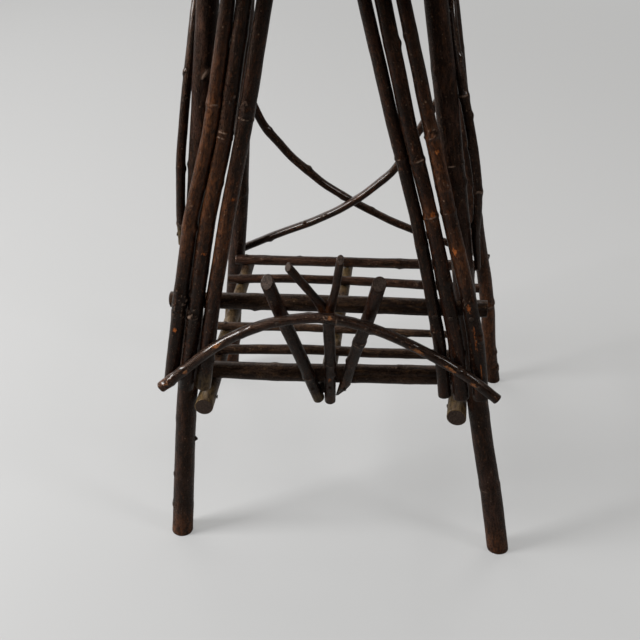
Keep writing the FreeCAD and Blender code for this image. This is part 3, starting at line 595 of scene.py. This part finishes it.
def grow(name, material, seed, marks=(), cuts=(None, None), line=None, radii=None, ridge=0.0004,
         lump=0.0011, sides=30, node_every=0.085, rename=None, fuller=(1.0,)):
    """Grow a bark-on stick along a node's middle line.

    Marks are as in add_mark. Cuts are the directions in which the two ends are sawn. Fuller
    is the stick's thickness from end to end as shares of the solid's, within 5% of it.
    """
    ring_spacing, wander, oval, path_step, spare = 0.002, 0.0012, 0.04, 0.006, 0.02
    bud_swell, bud_length, clear_end = 0.05, 0.005, 0.01
    if line is None:
        line, radii = line_of(name)
    steps = np.linalg.norm(np.diff(line, axis=0), axis=1)
    reach = np.concatenate([[0], np.cumsum(steps)])
    length = reach[-1]
    dice = np.random.default_rng(seed)
    buds = []
    at = node_every * dice.uniform(0.3, 0.9)
    while at < length - clear_end:
        buds.append((at, dice.uniform(0.5, 1.2), dice.uniform(0, 2 * math.pi)))
        at += node_every * dice.uniform(0.6, 1.35)
    fine = np.linspace(0, length, max(int(length / path_step), 12))
    path = np.stack([np.interp(fine, reach, line[:, k]) for k in range(3)], 1)
    thick = np.interp(fine, reach, radii)
    thick = thick * np.interp(fine / length, np.linspace(0, 1, len(fuller)), fuller)
    for _ in range(3):
        path[1:-1] = (path[:-2] + path[1:-1] * 2 + path[2:]) / 4
    for at, strength, _ in buds:
        thick = thick * (1 + bud_swell * strength * bell(fine - at, bud_length))
    butt, tip = path[0] - path[1], path[-1] - path[-2]
    longer = np.concatenate([[path[0] + butt / np.linalg.norm(butt) * spare], path,
                             [path[-1] + tip / np.linalg.norm(tip) * spare]])

    curve = bpy.data.curves.new(f"{name}_line", "CURVE")
    curve.dimensions = "3D"
    curve.twist_mode = "MINIMUM"
    spline = curve.splines.new("POLY")
    spline.points.add(len(longer) - 1)
    spline.points.foreach_set("co", np.concatenate([longer, np.ones((len(longer), 1))], 1).ravel())
    spline.points.foreach_set("radius", np.concatenate([thick[:1], thick, thick[-1:]]))
    mesh = grown(set_out(f"{name}_line", curve), sweep, {
        "Ring spacing": ring_spacing, "Sides": sides, "Ridge height": ridge, "Lump height": lump,
        "Wander": wander, "Seed": float(seed), "Bark": material})
    mesh.name = rename or f"{name}_bark"

    spots = points_of(mesh)
    along = np.zeros(len(spots))
    mesh.attributes["along"].data.foreach_get("value", along)
    along = along - spare
    out, radius, turn = around_stick(spots, path, fine, along)
    slow = dice.uniform(0, math.pi)
    spots += out * (radius * oval * np.cos(2 * (turn - slow) + along * 9))[:, None]
    marked = {title: np.zeros(len(spots)) for title in ("scar", "pit", "worn", "warmth", "bare")}
    add_buds(buds, spots, out, radius, turn, along, marked)
    for mark in marks:
        add_mark(mark, spots, out, radius, turn, along, marked)
    mesh.vertices.foreach_set("co", spots.ravel())
    for title, values in marked.items():
        mesh.attributes.new(title, "FLOAT", "POINT").data.foreach_set("value", values.astype(np.float32))

    # Feet and heads that are sawn level end where the solid does. Buds that would stand past
    # the CAD model's box are pressed back to it.
    shell = bmesh.new()
    shell.from_mesh(mesh)
    solid_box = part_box(name)
    for end, (spot, way) in enumerate(((path[0], path[0] - path[1]), (path[-1], path[-1] - path[-2]))):
        way = Vector(cuts[end] if cuts[end] is not None else way).normalized()
        spot = Vector(spot)
        if abs(way.z) == 1:
            spot.z = solid_box[end].z
        saw_end(shell, spot, way)
    bmesh.ops.recalc_face_normals(shell, faces=shell.faces[:])
    shell.to_mesh(mesh)
    shell.free()
    mesh.vertices.foreach_set("co", np.clip(points_of(mesh), *np.array(cad_box)).ravel())
    mesh.materials.append(end_wood)
    piece = set_out(rename or f"{name}_bark", mesh)
    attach(piece, "root")
    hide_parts(name)


leg_bark = bark("varnished hickory sapling bark", "#170e0a", "#38261f", "#4c3020", "#6b5b50", "#7a4522")
for name, seed, marks in (
    ("front_left_leg", 3, (("scarred", 618, 20, 5), ("knot", 96, -65, 3), ("stub", 151, 95, 2.5),
                           ("warm", 10, 0, 26))),
    ("front_right_leg", 5, (("ring", 522, 15, 1.6), ("warm", 10, 0, 28))),
    ("back_left_leg", 8, (("warm", 42, 15, 24), ("bare", 120, 0, 22))),
    # The broad warm band low on the back right leg is painted light: the leg is made lighter and warmer
    # there, as if lit, where it stands in the shade of the right bundle.
    ("back_right_leg", 12, (("knot", 28, 60, 5), ("ring", 150, 0, 2), ("warm", 110, 0, 120))),
):
    grow(name, leg_bark, seed, marks, cuts=((0, 0, -1), (0, 0, 1)), sides=40, node_every=0.13)


# Shelf
# Two side rails are nailed inside the legs, six slats lie across them, and a middle rail
# hangs under the slats. They are thinner shoots with greyer bark, but for the two slats at
# the back, which are as brown as the legs.

slat_bark = bark("varnished hickory shoot bark", "#1f1611", "#47362b", "#5c432e", "#7b6b5c", "#7c4d28")
for name, seed, marks in (
    ("shelf_left_rail", 21, (("bare", 8, 0, 26), ("bare", 150, 0, 40), ("bare", 260, 0, 30))),
    ("shelf_right_rail", 22, (("bare", 8, 0, 22), ("warm", 60, 0, 20))),
    ("shelf_middle_rail", 23, (("bare", 90, 0, 70), ("bare", 240, 0, 40))),
):
    grow(name, slat_bark, seed, marks, sides=34, node_every=0.12)
slat_marks = {1: (("knot", 234, -105, 3),), 5: (("knot", 259, -25, 3),), 6: (("knot", 91, -115, 2.5),)}
for number in range(1, 7):
    grow(f"shelf_slat_{number}", slat_bark if number < 5 else leg_bark, 30 + number,
         slat_marks.get(number, ()), node_every=0.1, fuller=(1.05,))


# Rails
# One rail crosses the front half way up. Two more cross the front and back under the top,
# and two stand inside the legs, so that the boards have something to be nailed to.

for name, seed in (("upper_front_rail", 41), ("top_front_rail", 42), ("top_back_rail", 43),
                   ("top_left_rail", 44), ("top_right_rail", 45)):
    grow(name, slat_bark, seed, node_every=0.11)


# Bundles
# Three straight shoots on each side make the inverted V. They stand in front of the two
# front rails, side by side, and are nailed to them.

shoot_bark = bark("varnished young hickory bark", "#0b0604", "#27140c", "#4a2917", "#735c4a", "#a0531f",
                  speckle=1.3, coat=0.35)
for name, seed, fuller, marks in (
    ("left_bundle_outer_stick", 51, (1.0,), (
        ("ring", 335, 5, 3), ("knot", 223, -5, 3), ("burl", 108, 5, 11), ("burl", 92, 0, 7),
        ("worn", 70, -5, 5), ("warm", 300, 10, 90), ("warm", 196, 15, 40))),
    ("left_bundle_middle_stick", 52, (1.03, 1.05, 1.05, 1.05, 1.05), (
        ("ring", 317, -15, 2.2), ("ring", 311, -15, 1.5), ("knot", 357, 30, 2.5), ("knot", 351, 10, 2),
        ("burl", 100, -5, 9), ("knot", 126, -70, 3.5), ("worn", 179, 15, 4), ("warm", 250, -5, 60))),
    ("left_bundle_inner_stick", 53, (1.04, 1.05, 1.05, 1.05, 1.05), (
        ("ring", 329, -10, 1.5), ("knot", 346, 0, 2.5), ("worn", 242, 20, 4), ("warm", 200, 0, 60),
        ("bare", 5, 0, 16))),
    ("right_bundle_inner_stick", 57, (1.0, 0.97, 0.98, 1.05, 1.05), (
        ("ring", 286, 0, 2), ("knot", 360, 40, 2))),
    ("right_bundle_middle_stick", 58, (1.0, 0.98, 0.98, 1.05, 1.05), (
        ("ring", 285, 25, 2.5), ("worn", 227, 25, 7), ("ring", 223, 10, 2), ("warm", 227, 0, 14))),
    ("right_bundle_outer_stick", 59, (1.0, 1.0, 1.05, 1.05, 1.05), (
        ("burl", 316, 20, 6), ("ring", 312, 20, 1.5), ("worn", 297, 20, 5), ("ring", 230, 0, 2),
        # The two long thin lines here are a painted highlight, drawn as bare wood.
        ("worn", 186, -15, 8), ("worn", 119, -5, 9), ("painted_highlight_line", 80, 5, 26), ("painted_highlight_line", 40, 20, 14),
        ("warm", 290, 45, 45), ("warm", 178, -25, 30), ("burl", 125, -5, 7))),
):
    grow(name, shoot_bark, seed, marks, node_every=0.12, fuller=fuller)


# Fan
# Three short sticks rise from the front slat like a fan. The middle one is a forked shoot
# whose two branches end in slanting cuts.

def forked_lines(name):
    """The lines of a forked stick's trunk with its right branch, and of its left branch."""
    level_step, clear_foot, clear_top, least_gap = 0.004, 0.004, 0.002, 0.003
    branch_radius, crotch_radius, crotch_share = 0.0044, 0.0050, 0.86
    spots, corners = solid_of(name)
    trunk, branches = [], ([], [])
    for level in np.arange(spots[:, 2].min() + clear_foot, spots[:, 2].max() - clear_top, level_step):
        points = crossed(corners, np.array([0, 0, level]), np.array([0, 0, 1.0]))
        centre = [(points[:, k].max() + points[:, k].min()) / 2 for k in range(3)]
        across = np.sort(points[:, 0])
        gaps = np.diff(across)
        widest = int(np.argmax(gaps))
        sides = (gaps[widest], across[widest] - across[0], across[-1] - across[widest + 1])
        if min(sides) > least_gap:
            split = (across[widest] + across[widest + 1]) / 2
            for branch, one in zip(branches, (points[points[:, 0] < split], points[points[:, 0] > split])):
                branch.append([(one[:, k].max() + one[:, k].min()) / 2 for k in range(3)])
        elif not branches[0]:
            trunk.append(centre + [(across[-1] - across[0]) / 2])
        else:
            higher = int(np.mean(points[:, 0]) > np.mean([branches[0][-1][0], branches[1][-1][0]]))
            branches[higher].append(centre)
    trunk = np.array(trunk)
    usual = np.median(trunk[:, 3])
    trunk = trunk[trunk[:, 3] < usual * 1.15]
    course = trunk[0, :3] - trunk[2, :3]
    course /= np.linalg.norm(course)
    low = spots[spots[:, 2] < trunk[0, 2] + level_step]
    foot = trunk[0, :3] + course * ((low - trunk[0, :3]) @ course).max()
    lines = []
    for branch, stem in ((branches[1], np.concatenate([foot[None], trunk[:, :3]])),
                         (branches[0], trunk[-3:-1, :3])):
        branch = np.array(branch)[:-2]
        course = branch[-1] - branch[-4]
        course /= np.linalg.norm(course)
        near = spots[np.linalg.norm(spots - branch[-1], axis=1) < 0.02]
        tip = branch[-1] + course * ((near - branch[-1]) @ course).max()
        line = np.concatenate([stem, branch, tip[None]])
        thick = np.concatenate([np.full(len(stem), usual), np.full(len(branch) + 1, branch_radius)])
        thick[len(stem)] = usual * crotch_share
        thick[len(stem) + 1] = crotch_radius
        lines.append((line, thick))
    return lines


for name, seed, cuts, marks in (
    ("fan_left_stick", 61, (None, (-0.25, -0.75, 0.62)), (
        ("ring", 46, -25, 3), ("bare", 2, -25, 14), ("ring", 150, 0, 2))),
    ("fan_right_stick", 62, ((0.5, -0.6, -0.62), (0.2, -0.75, 0.62)), (
        ("ring", 95, -20, 3.5), ("warm", 14, 10, 12), ("bare", 2, 0, 6), ("ring", 100, 10, 2))),
):
    grow(name, shoot_bark, seed, marks, cuts, node_every=0.09)
(stem, stem_thick), (fork, fork_thick) = forked_lines("fan_forked_stick")
stem_marks = (("ring", 74, -10, 3), ("worn", 48, 0, 6), ("warm", 5, -15, 12), ("burl", 168, 0, 7),
              ("warm", 170, 0, 9))
grow("fan_forked_stick", shoot_bark, 63, stem_marks,
     (None, (0.1, -0.8, 0.55)), stem, stem_thick, node_every=0.09)
grow("fan_forked_stick", shoot_bark, 64, (("burl", 14, 0, 6), ("warm", 16, 0, 9)),
     (None, (-0.5, -0.6, 0.6)), fork, fork_thick, node_every=0.06, rename="fan_fork_branch_bark")


# Bent arch
# One long twig bent green into a hoop over both bundles and the fan, and nailed there.
# Its greyer bark is rubbed through to orange wood here and there.

twig_bark = bark("varnished hickory twig bark", "#150d0a", "#2f2019", "#4a2f20", "#8c7c6e", "#8a5530",
                 speckle=1.3, coat=0.45)
arch_marks = (
    ("worn", 12, -25, 5), ("warm", 4, 0, 14), ("burl", 12, 0, 10), ("worn", 40, 10, 6), ("worn", 92, -30, 9),
    ("worn", 326, 0, 15), ("worn", 368, 0, 14), ("worn", 225, -40, 5), ("knot", 307, -20, 2.5),
    ("knot", 138, -55, 2.5), ("worn", 400, 10, 8), ("ring", 232, 0, 2.5), ("burl", 222, 0, 6),
)
grow("bent_arch", twig_bark, 71, arch_marks, ridge=0.0007, lump=0.0014, sides=32,
     node_every=0.08, fuller=(1.05,))


# Bent braces
# Two twigs cross behind the back legs, and one on each side bends from the front leg to
# the back leg under the top. The right one has the arch's bark, the others the bundles'.

for name, brace_bark, seed, marks in (
    ("back_brace_a", shoot_bark, 81, ()),
    ("back_brace_b", shoot_bark, 82, (("stub", 125, -60, 2),)),
    ("left_side_brace", shoot_bark, 83, (("ring", 26, 0, 3), ("knot", 195, -70, 3), ("bare", 10, 0, 14))),
    ("right_side_brace", twig_bark, 84, (("knot", 232, 80, 3), ("ring", 193, -10, 4), ("ring", 92, 25, 4),
                                         ("knot", 173, 80, 3))),
):
    grow(name, brace_bark, seed, marks, sides=26, node_every=0.07)


# Edge sticks
# Four sticks are nailed round the edges of the boards.

for name, seed in (("front_edge_stick", 91), ("back_edge_stick", 92), ("left_edge_stick", 93),
                   ("right_edge_stick", 94)):
    grow(name, slat_bark, seed, sides=28, node_every=0.1)


# Top boards
# Four stained boards lie side by side inside the edge sticks, with flush nail heads. Their
# arrises are rubbed round and their faces are a little uneven.

def stained_board():
    """Dark stained, varnished pine: grain bands 5.5 mm apart, a few knots, a soft sheen.
    The fibres are 0.8 mm apart, coarser than real, so that they show."""
    material, tree, shader = new_finish("stained pine board", shine=0.22)
    place = put(tree, "ShaderNodeTexCoord").outputs["Object"]
    drawn = put(tree, "ShaderNodeVectorMath", {0: place, 1: (0.09, 1, 1)}, operation="MULTIPLY")
    wave = put(tree, "ShaderNodeTexNoise", {"Vector": drawn, "Scale": 34.0, "Detail": 2.0, "Roughness": 0.5})
    split = put(tree, "ShaderNodeSeparateXYZ", {0: place})
    bands = put(tree, "ShaderNodeMath", {0: wave.outputs["Fac"], 1: 0.085, 2: split.outputs["Y"]},
                operation="MULTIPLY_ADD")
    bands = put(tree, "ShaderNodeMath", {0: bands, 1: 1150.0}, operation="MULTIPLY")
    bands = put(tree, "ShaderNodeMath", {0: bands}, operation="SINE")
    grain = put(tree, "ShaderNodeMapRange", {0: bands, 1: -0.9, 2: 0.9, 3: 0.0, 4: 1.0},
                interpolation_type="SMOOTHSTEP")
    length = put(tree, "ShaderNodeVectorMath", {0: place, 1: (0.03, 1, 1)}, operation="MULTIPLY")
    fibres = put(tree, "ShaderNodeTexNoise",
                 {"Vector": length, "Scale": 1300.0, "Detail": 3.0, "Roughness": 0.6}).outputs["Fac"]
    patches = put(tree, "ShaderNodeTexNoise",
                  {"Vector": place, "Scale": 9.0, "Detail": 4.0, "Roughness": 0.6}).outputs["Fac"]
    knots = put(tree, "ShaderNodeTexVoronoi", {"Vector": drawn, "Scale": 13.0, "Randomness": 1.0})
    spot = put(tree, "ShaderNodeMapRange", {0: knots.outputs["Distance"], 1: 0.1, 2: 0.045, 3: 0.0, 4: 1.0},
               interpolation_type="SMOOTHSTEP")
    thin = put(tree, "ShaderNodeMapRange", {0: fibres, 1: 0.35, 2: 0.75, 3: 0.0, 4: 0.55})
    worn = put(tree, "ShaderNodeMapRange", {0: patches, 1: 0.5, 2: 0.75, 3: 0.0, 4: 0.6})
    colour = linear("#4e3122")
    for share, tint in ((grain, "#2c1a12"), (thin, "#5f3f2c"), (worn, "#6a4a35"), (spot, "#170d09")):
        colour = put(tree, "ShaderNodeMix", {0: share, 6: colour, 7: linear(tint)},
                     data_type="RGBA").outputs[2]
    dullness = put(tree, "ShaderNodeMapRange", {0: patches, 1: 0.3, 2: 0.7, 3: 0.55, 4: 0.72})
    bump = put(tree, "ShaderNodeBump", {"Strength": 0.35, "Distance": 0.0006, "Height": fibres})
    bump = put(tree, "ShaderNodeBump",
               {"Strength": 0.3, "Distance": 0.0008, "Height": grain, "Normal": bump})
    wire(shader, {"Base Color": colour, "Roughness": dullness, "Normal": bump})
    return material


board_wood = stained_board()
rounding, stride, wear, ripple = 0.0022, 0.004, 0.00035, 0.0003
for number in range(1, 5):
    low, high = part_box(f"top_board_{number}")
    centre, half = (low + high) / 2, (high - low) / 2
    section = []
    for corner, (side, top) in enumerate(((1, 1), (-1, 1), (-1, -1), (1, -1))):
        for step in range(5):
            turn = math.radians(90 * corner + 22.5 * step)
            section.append((side * (half.y - rounding) + rounding * math.cos(turn),
                            top * (half.z - rounding) + rounding * math.sin(turn)))
        if top * side > 0:
            count = int(half.y * 2 / stride)
            run = np.linspace(side * (half.y - rounding), -side * (half.y - rounding), count)[1:-1]
            section += [(across, top * half.z) for across in run]
    boarding = bmesh.new()
    loops = []
    stations = np.arange(-half.x, half.x + 1e-6, half.x * 2 / round(half.x * 2 / stride))
    for along_x in stations:
        close = max(0.0, rounding * 0.7 - (half.x - abs(along_x)))
        loop = []
        for across, up in section:
            spot = Vector((along_x, across, up))
            pull = wear * (1 + noise.noise(Vector((spot.x * 9, spot.y * 40, number * 7.3)))) + close
            pull += ripple * abs(noise.noise(Vector((spot.x * 60, spot.y * 90, number * 3.1 + up * 50))))
            if abs(across) > half.y - rounding:
                spot.y -= math.copysign(min(pull, abs(spot.y)), spot.y)
            spot.z -= math.copysign(pull, spot.z)
            loop.append(boarding.verts.new(centre + spot))
        loops.append(loop)
    for one, other in zip(loops, loops[1:]):
        for k in range(len(one)):
            boarding.faces.new((one[k], other[k], other[(k + 1) % len(one)], one[(k + 1) % len(one)]))
    boarding.faces.new(loops[0])
    boarding.faces.new(loops[-1][::-1])
    bmesh.ops.triangulate(boarding, faces=boarding.faces[-2:])
    bmesh.ops.recalc_face_normals(boarding, faces=boarding.faces[:])
    for face in boarding.faces:
        face.smooth = len(face.verts) == 4
    mesh = bpy.data.meshes.new(f"top_board_{number}_plank")
    boarding.to_mesh(mesh)
    boarding.free()
    mesh.materials.append(board_wood)
    plank = set_out(f"top_board_{number}_plank", mesh)
    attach(plank, "root")
    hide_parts(f"top_board_{number}")


# Nails
# Plain iron nails with low domed heads, dulled and browned by the varnish that was brushed
# over them.

def nail_places(name):
    """The crown and inward direction of each nail in a node."""
    crown_depth = 0.0002
    solid = bmesh.new()
    solid.from_mesh(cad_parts[name].data)
    bmesh.ops.remove_doubles(solid, verts=solid.verts, dist=1e-6)
    waiting, found = set(solid.verts), []
    while waiting:
        island, open_verts = set(), [waiting.pop()]
        while open_verts:
            vert = open_verts.pop()
            island.add(vert)
            for edge in vert.link_edges:
                other = edge.other_vert(vert)
                if other in waiting:
                    waiting.discard(other)
                    open_verts.append(other)
        points = np.array([vert.co[:] for vert in island])
        heart = (points.max(0) + points.min(0)) / 2
        far = points[np.argmax(np.linalg.norm(points - heart, axis=1))]
        away = points[np.argmax(np.linalg.norm(points - far, axis=1))]
        longest = (far - away) / np.linalg.norm(far - away)
        _, _, ways = np.linalg.svd(points - points.mean(0), full_matrices=False)
        run = min(ways, key=lambda way: np.linalg.norm(np.cross(way, longest)))
        reach = (points - heart) @ run
        ends = []
        for sign in (1, -1):
            tip = (reach * sign).max()
            rim = points[reach * sign > tip - crown_depth]
            ends.append((np.linalg.norm(rim - rim.mean(0), axis=1).max(), rim.mean(0), -sign * run))
        _, crown, inward = max(ends, key=lambda end: end[0])
        found.append((crown, inward))
    solid.free()
    return sorted(found, key=lambda item: tuple(np.round(item[0], 4)))


def old_iron():
    """Iron under brown varnish: near black, with a dull uneven shine."""
    material, tree, shader = new_finish("browned iron")
    place = put(tree, "ShaderNodeTexCoord").outputs["Object"]
    rust = put(tree, "ShaderNodeTexNoise",
               {"Vector": place, "Scale": 900.0, "Detail": 3.0, "Roughness": 0.6}).outputs["Fac"]
    colour = put(tree, "ShaderNodeMix", {0: rust, 6: linear("#1f1814"), 7: linear("#4a3a30")},
                 data_type="RGBA").outputs[2]
    bump = put(tree, "ShaderNodeBump", {"Strength": 0.4, "Distance": 0.0003, "Height": rust})
    wire(shader, {"Base Color": colour, "Metallic": 0.55, "Normal": bump})
    return material


def nail_shape():
    """One nail, crown at the origin and point along +Z."""
    profile = ((0, 0), (0.0009, 0.00004), (0.0017, 0.0002), (0.0023, 0.00045), (0.0026, 0.0008),
               (0.0025, 0.001), (0.0011, 0.00104), (0.0011, 0.008), (0, 0.0095))
    solid = bmesh.new()
    verts = [solid.verts.new((out, 0, down)) for out, down in profile]
    edges = [solid.edges.new(pair) for pair in zip(verts, verts[1:])]
    bmesh.ops.spin(solid, geom=verts + edges, axis=(0, 0, 1), cent=(0, 0, 0), steps=20, angle=2 * math.pi)
    bmesh.ops.remove_doubles(solid, verts=solid.verts, dist=1e-6)
    bmesh.ops.recalc_face_normals(solid, faces=solid.faces[:])
    mesh = bpy.data.meshes.new("nail")
    solid.to_mesh(mesh)
    solid.free()
    return bpy.data.objects.new("nail", mesh)


def nail_tree():
    """The Geometry Nodes tree that sets a nail at each point of a group."""
    group = bpy.data.node_groups.new("nails", "GeometryNodeTree")
    face = group.interface
    for title, kind in (("Points", "Geometry"), ("Nail", "Object"), ("Iron", "Material")):
        face.new_socket(title, in_out="INPUT", socket_type=f"NodeSocket{kind}")
    face.new_socket("Nails", in_out="OUTPUT", socket_type="NodeSocketGeometry")
    given = put(group, "NodeGroupInput").outputs
    one = put(group, "GeometryNodeObjectInfo", {"Object": given["Nail"]})
    inward = put(group, "GeometryNodeInputNamedAttribute", {"Name": "inward"}, data_type="FLOAT_VECTOR")
    turn = put(group, "FunctionNodeAlignRotationToVector", {"Vector": inward}, axis="Z")
    set_in = put(group, "GeometryNodeInstanceOnPoints",
                 {"Points": given["Points"], "Instance": one.outputs["Geometry"],
                  "Rotation": turn})
    whole = put(group, "GeometryNodeRealizeInstances", {"Geometry": set_in})
    whole = put(group, "GeometryNodeSetShadeSmooth", {"Geometry": whole})
    whole = put(group, "GeometryNodeSetMaterial",
                {"Geometry": whole, "Material": given["Iron"]})
    put(group, "NodeGroupOutput", {0: whole})
    return group


iron, one_nail, nailing = old_iron(), nail_shape(), nail_tree()
for group_name in ("arch", "board", "brace", "bundle", "edge", "fan", "frame", "shelf"):
    node = f"{group_name}_nails"
    places = nail_places(node)
    dots = bpy.data.meshes.new(f"{node}_dots")
    dots.from_pydata([crown for crown, _ in places], [], [])
    dots.attributes.new("inward", "FLOAT_VECTOR", "POINT").data.foreach_set(
        "vector", np.array([inward for _, inward in places], np.float32).ravel())
    mesh = grown(set_out(f"{node}_dots", dots), nailing, {"Nail": one_nail, "Iron": iron})
    nail_set = set_out(f"{node}_heads", mesh)
    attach(nail_set, "root")
    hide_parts(node)
bpy.data.objects.remove(one_nail)
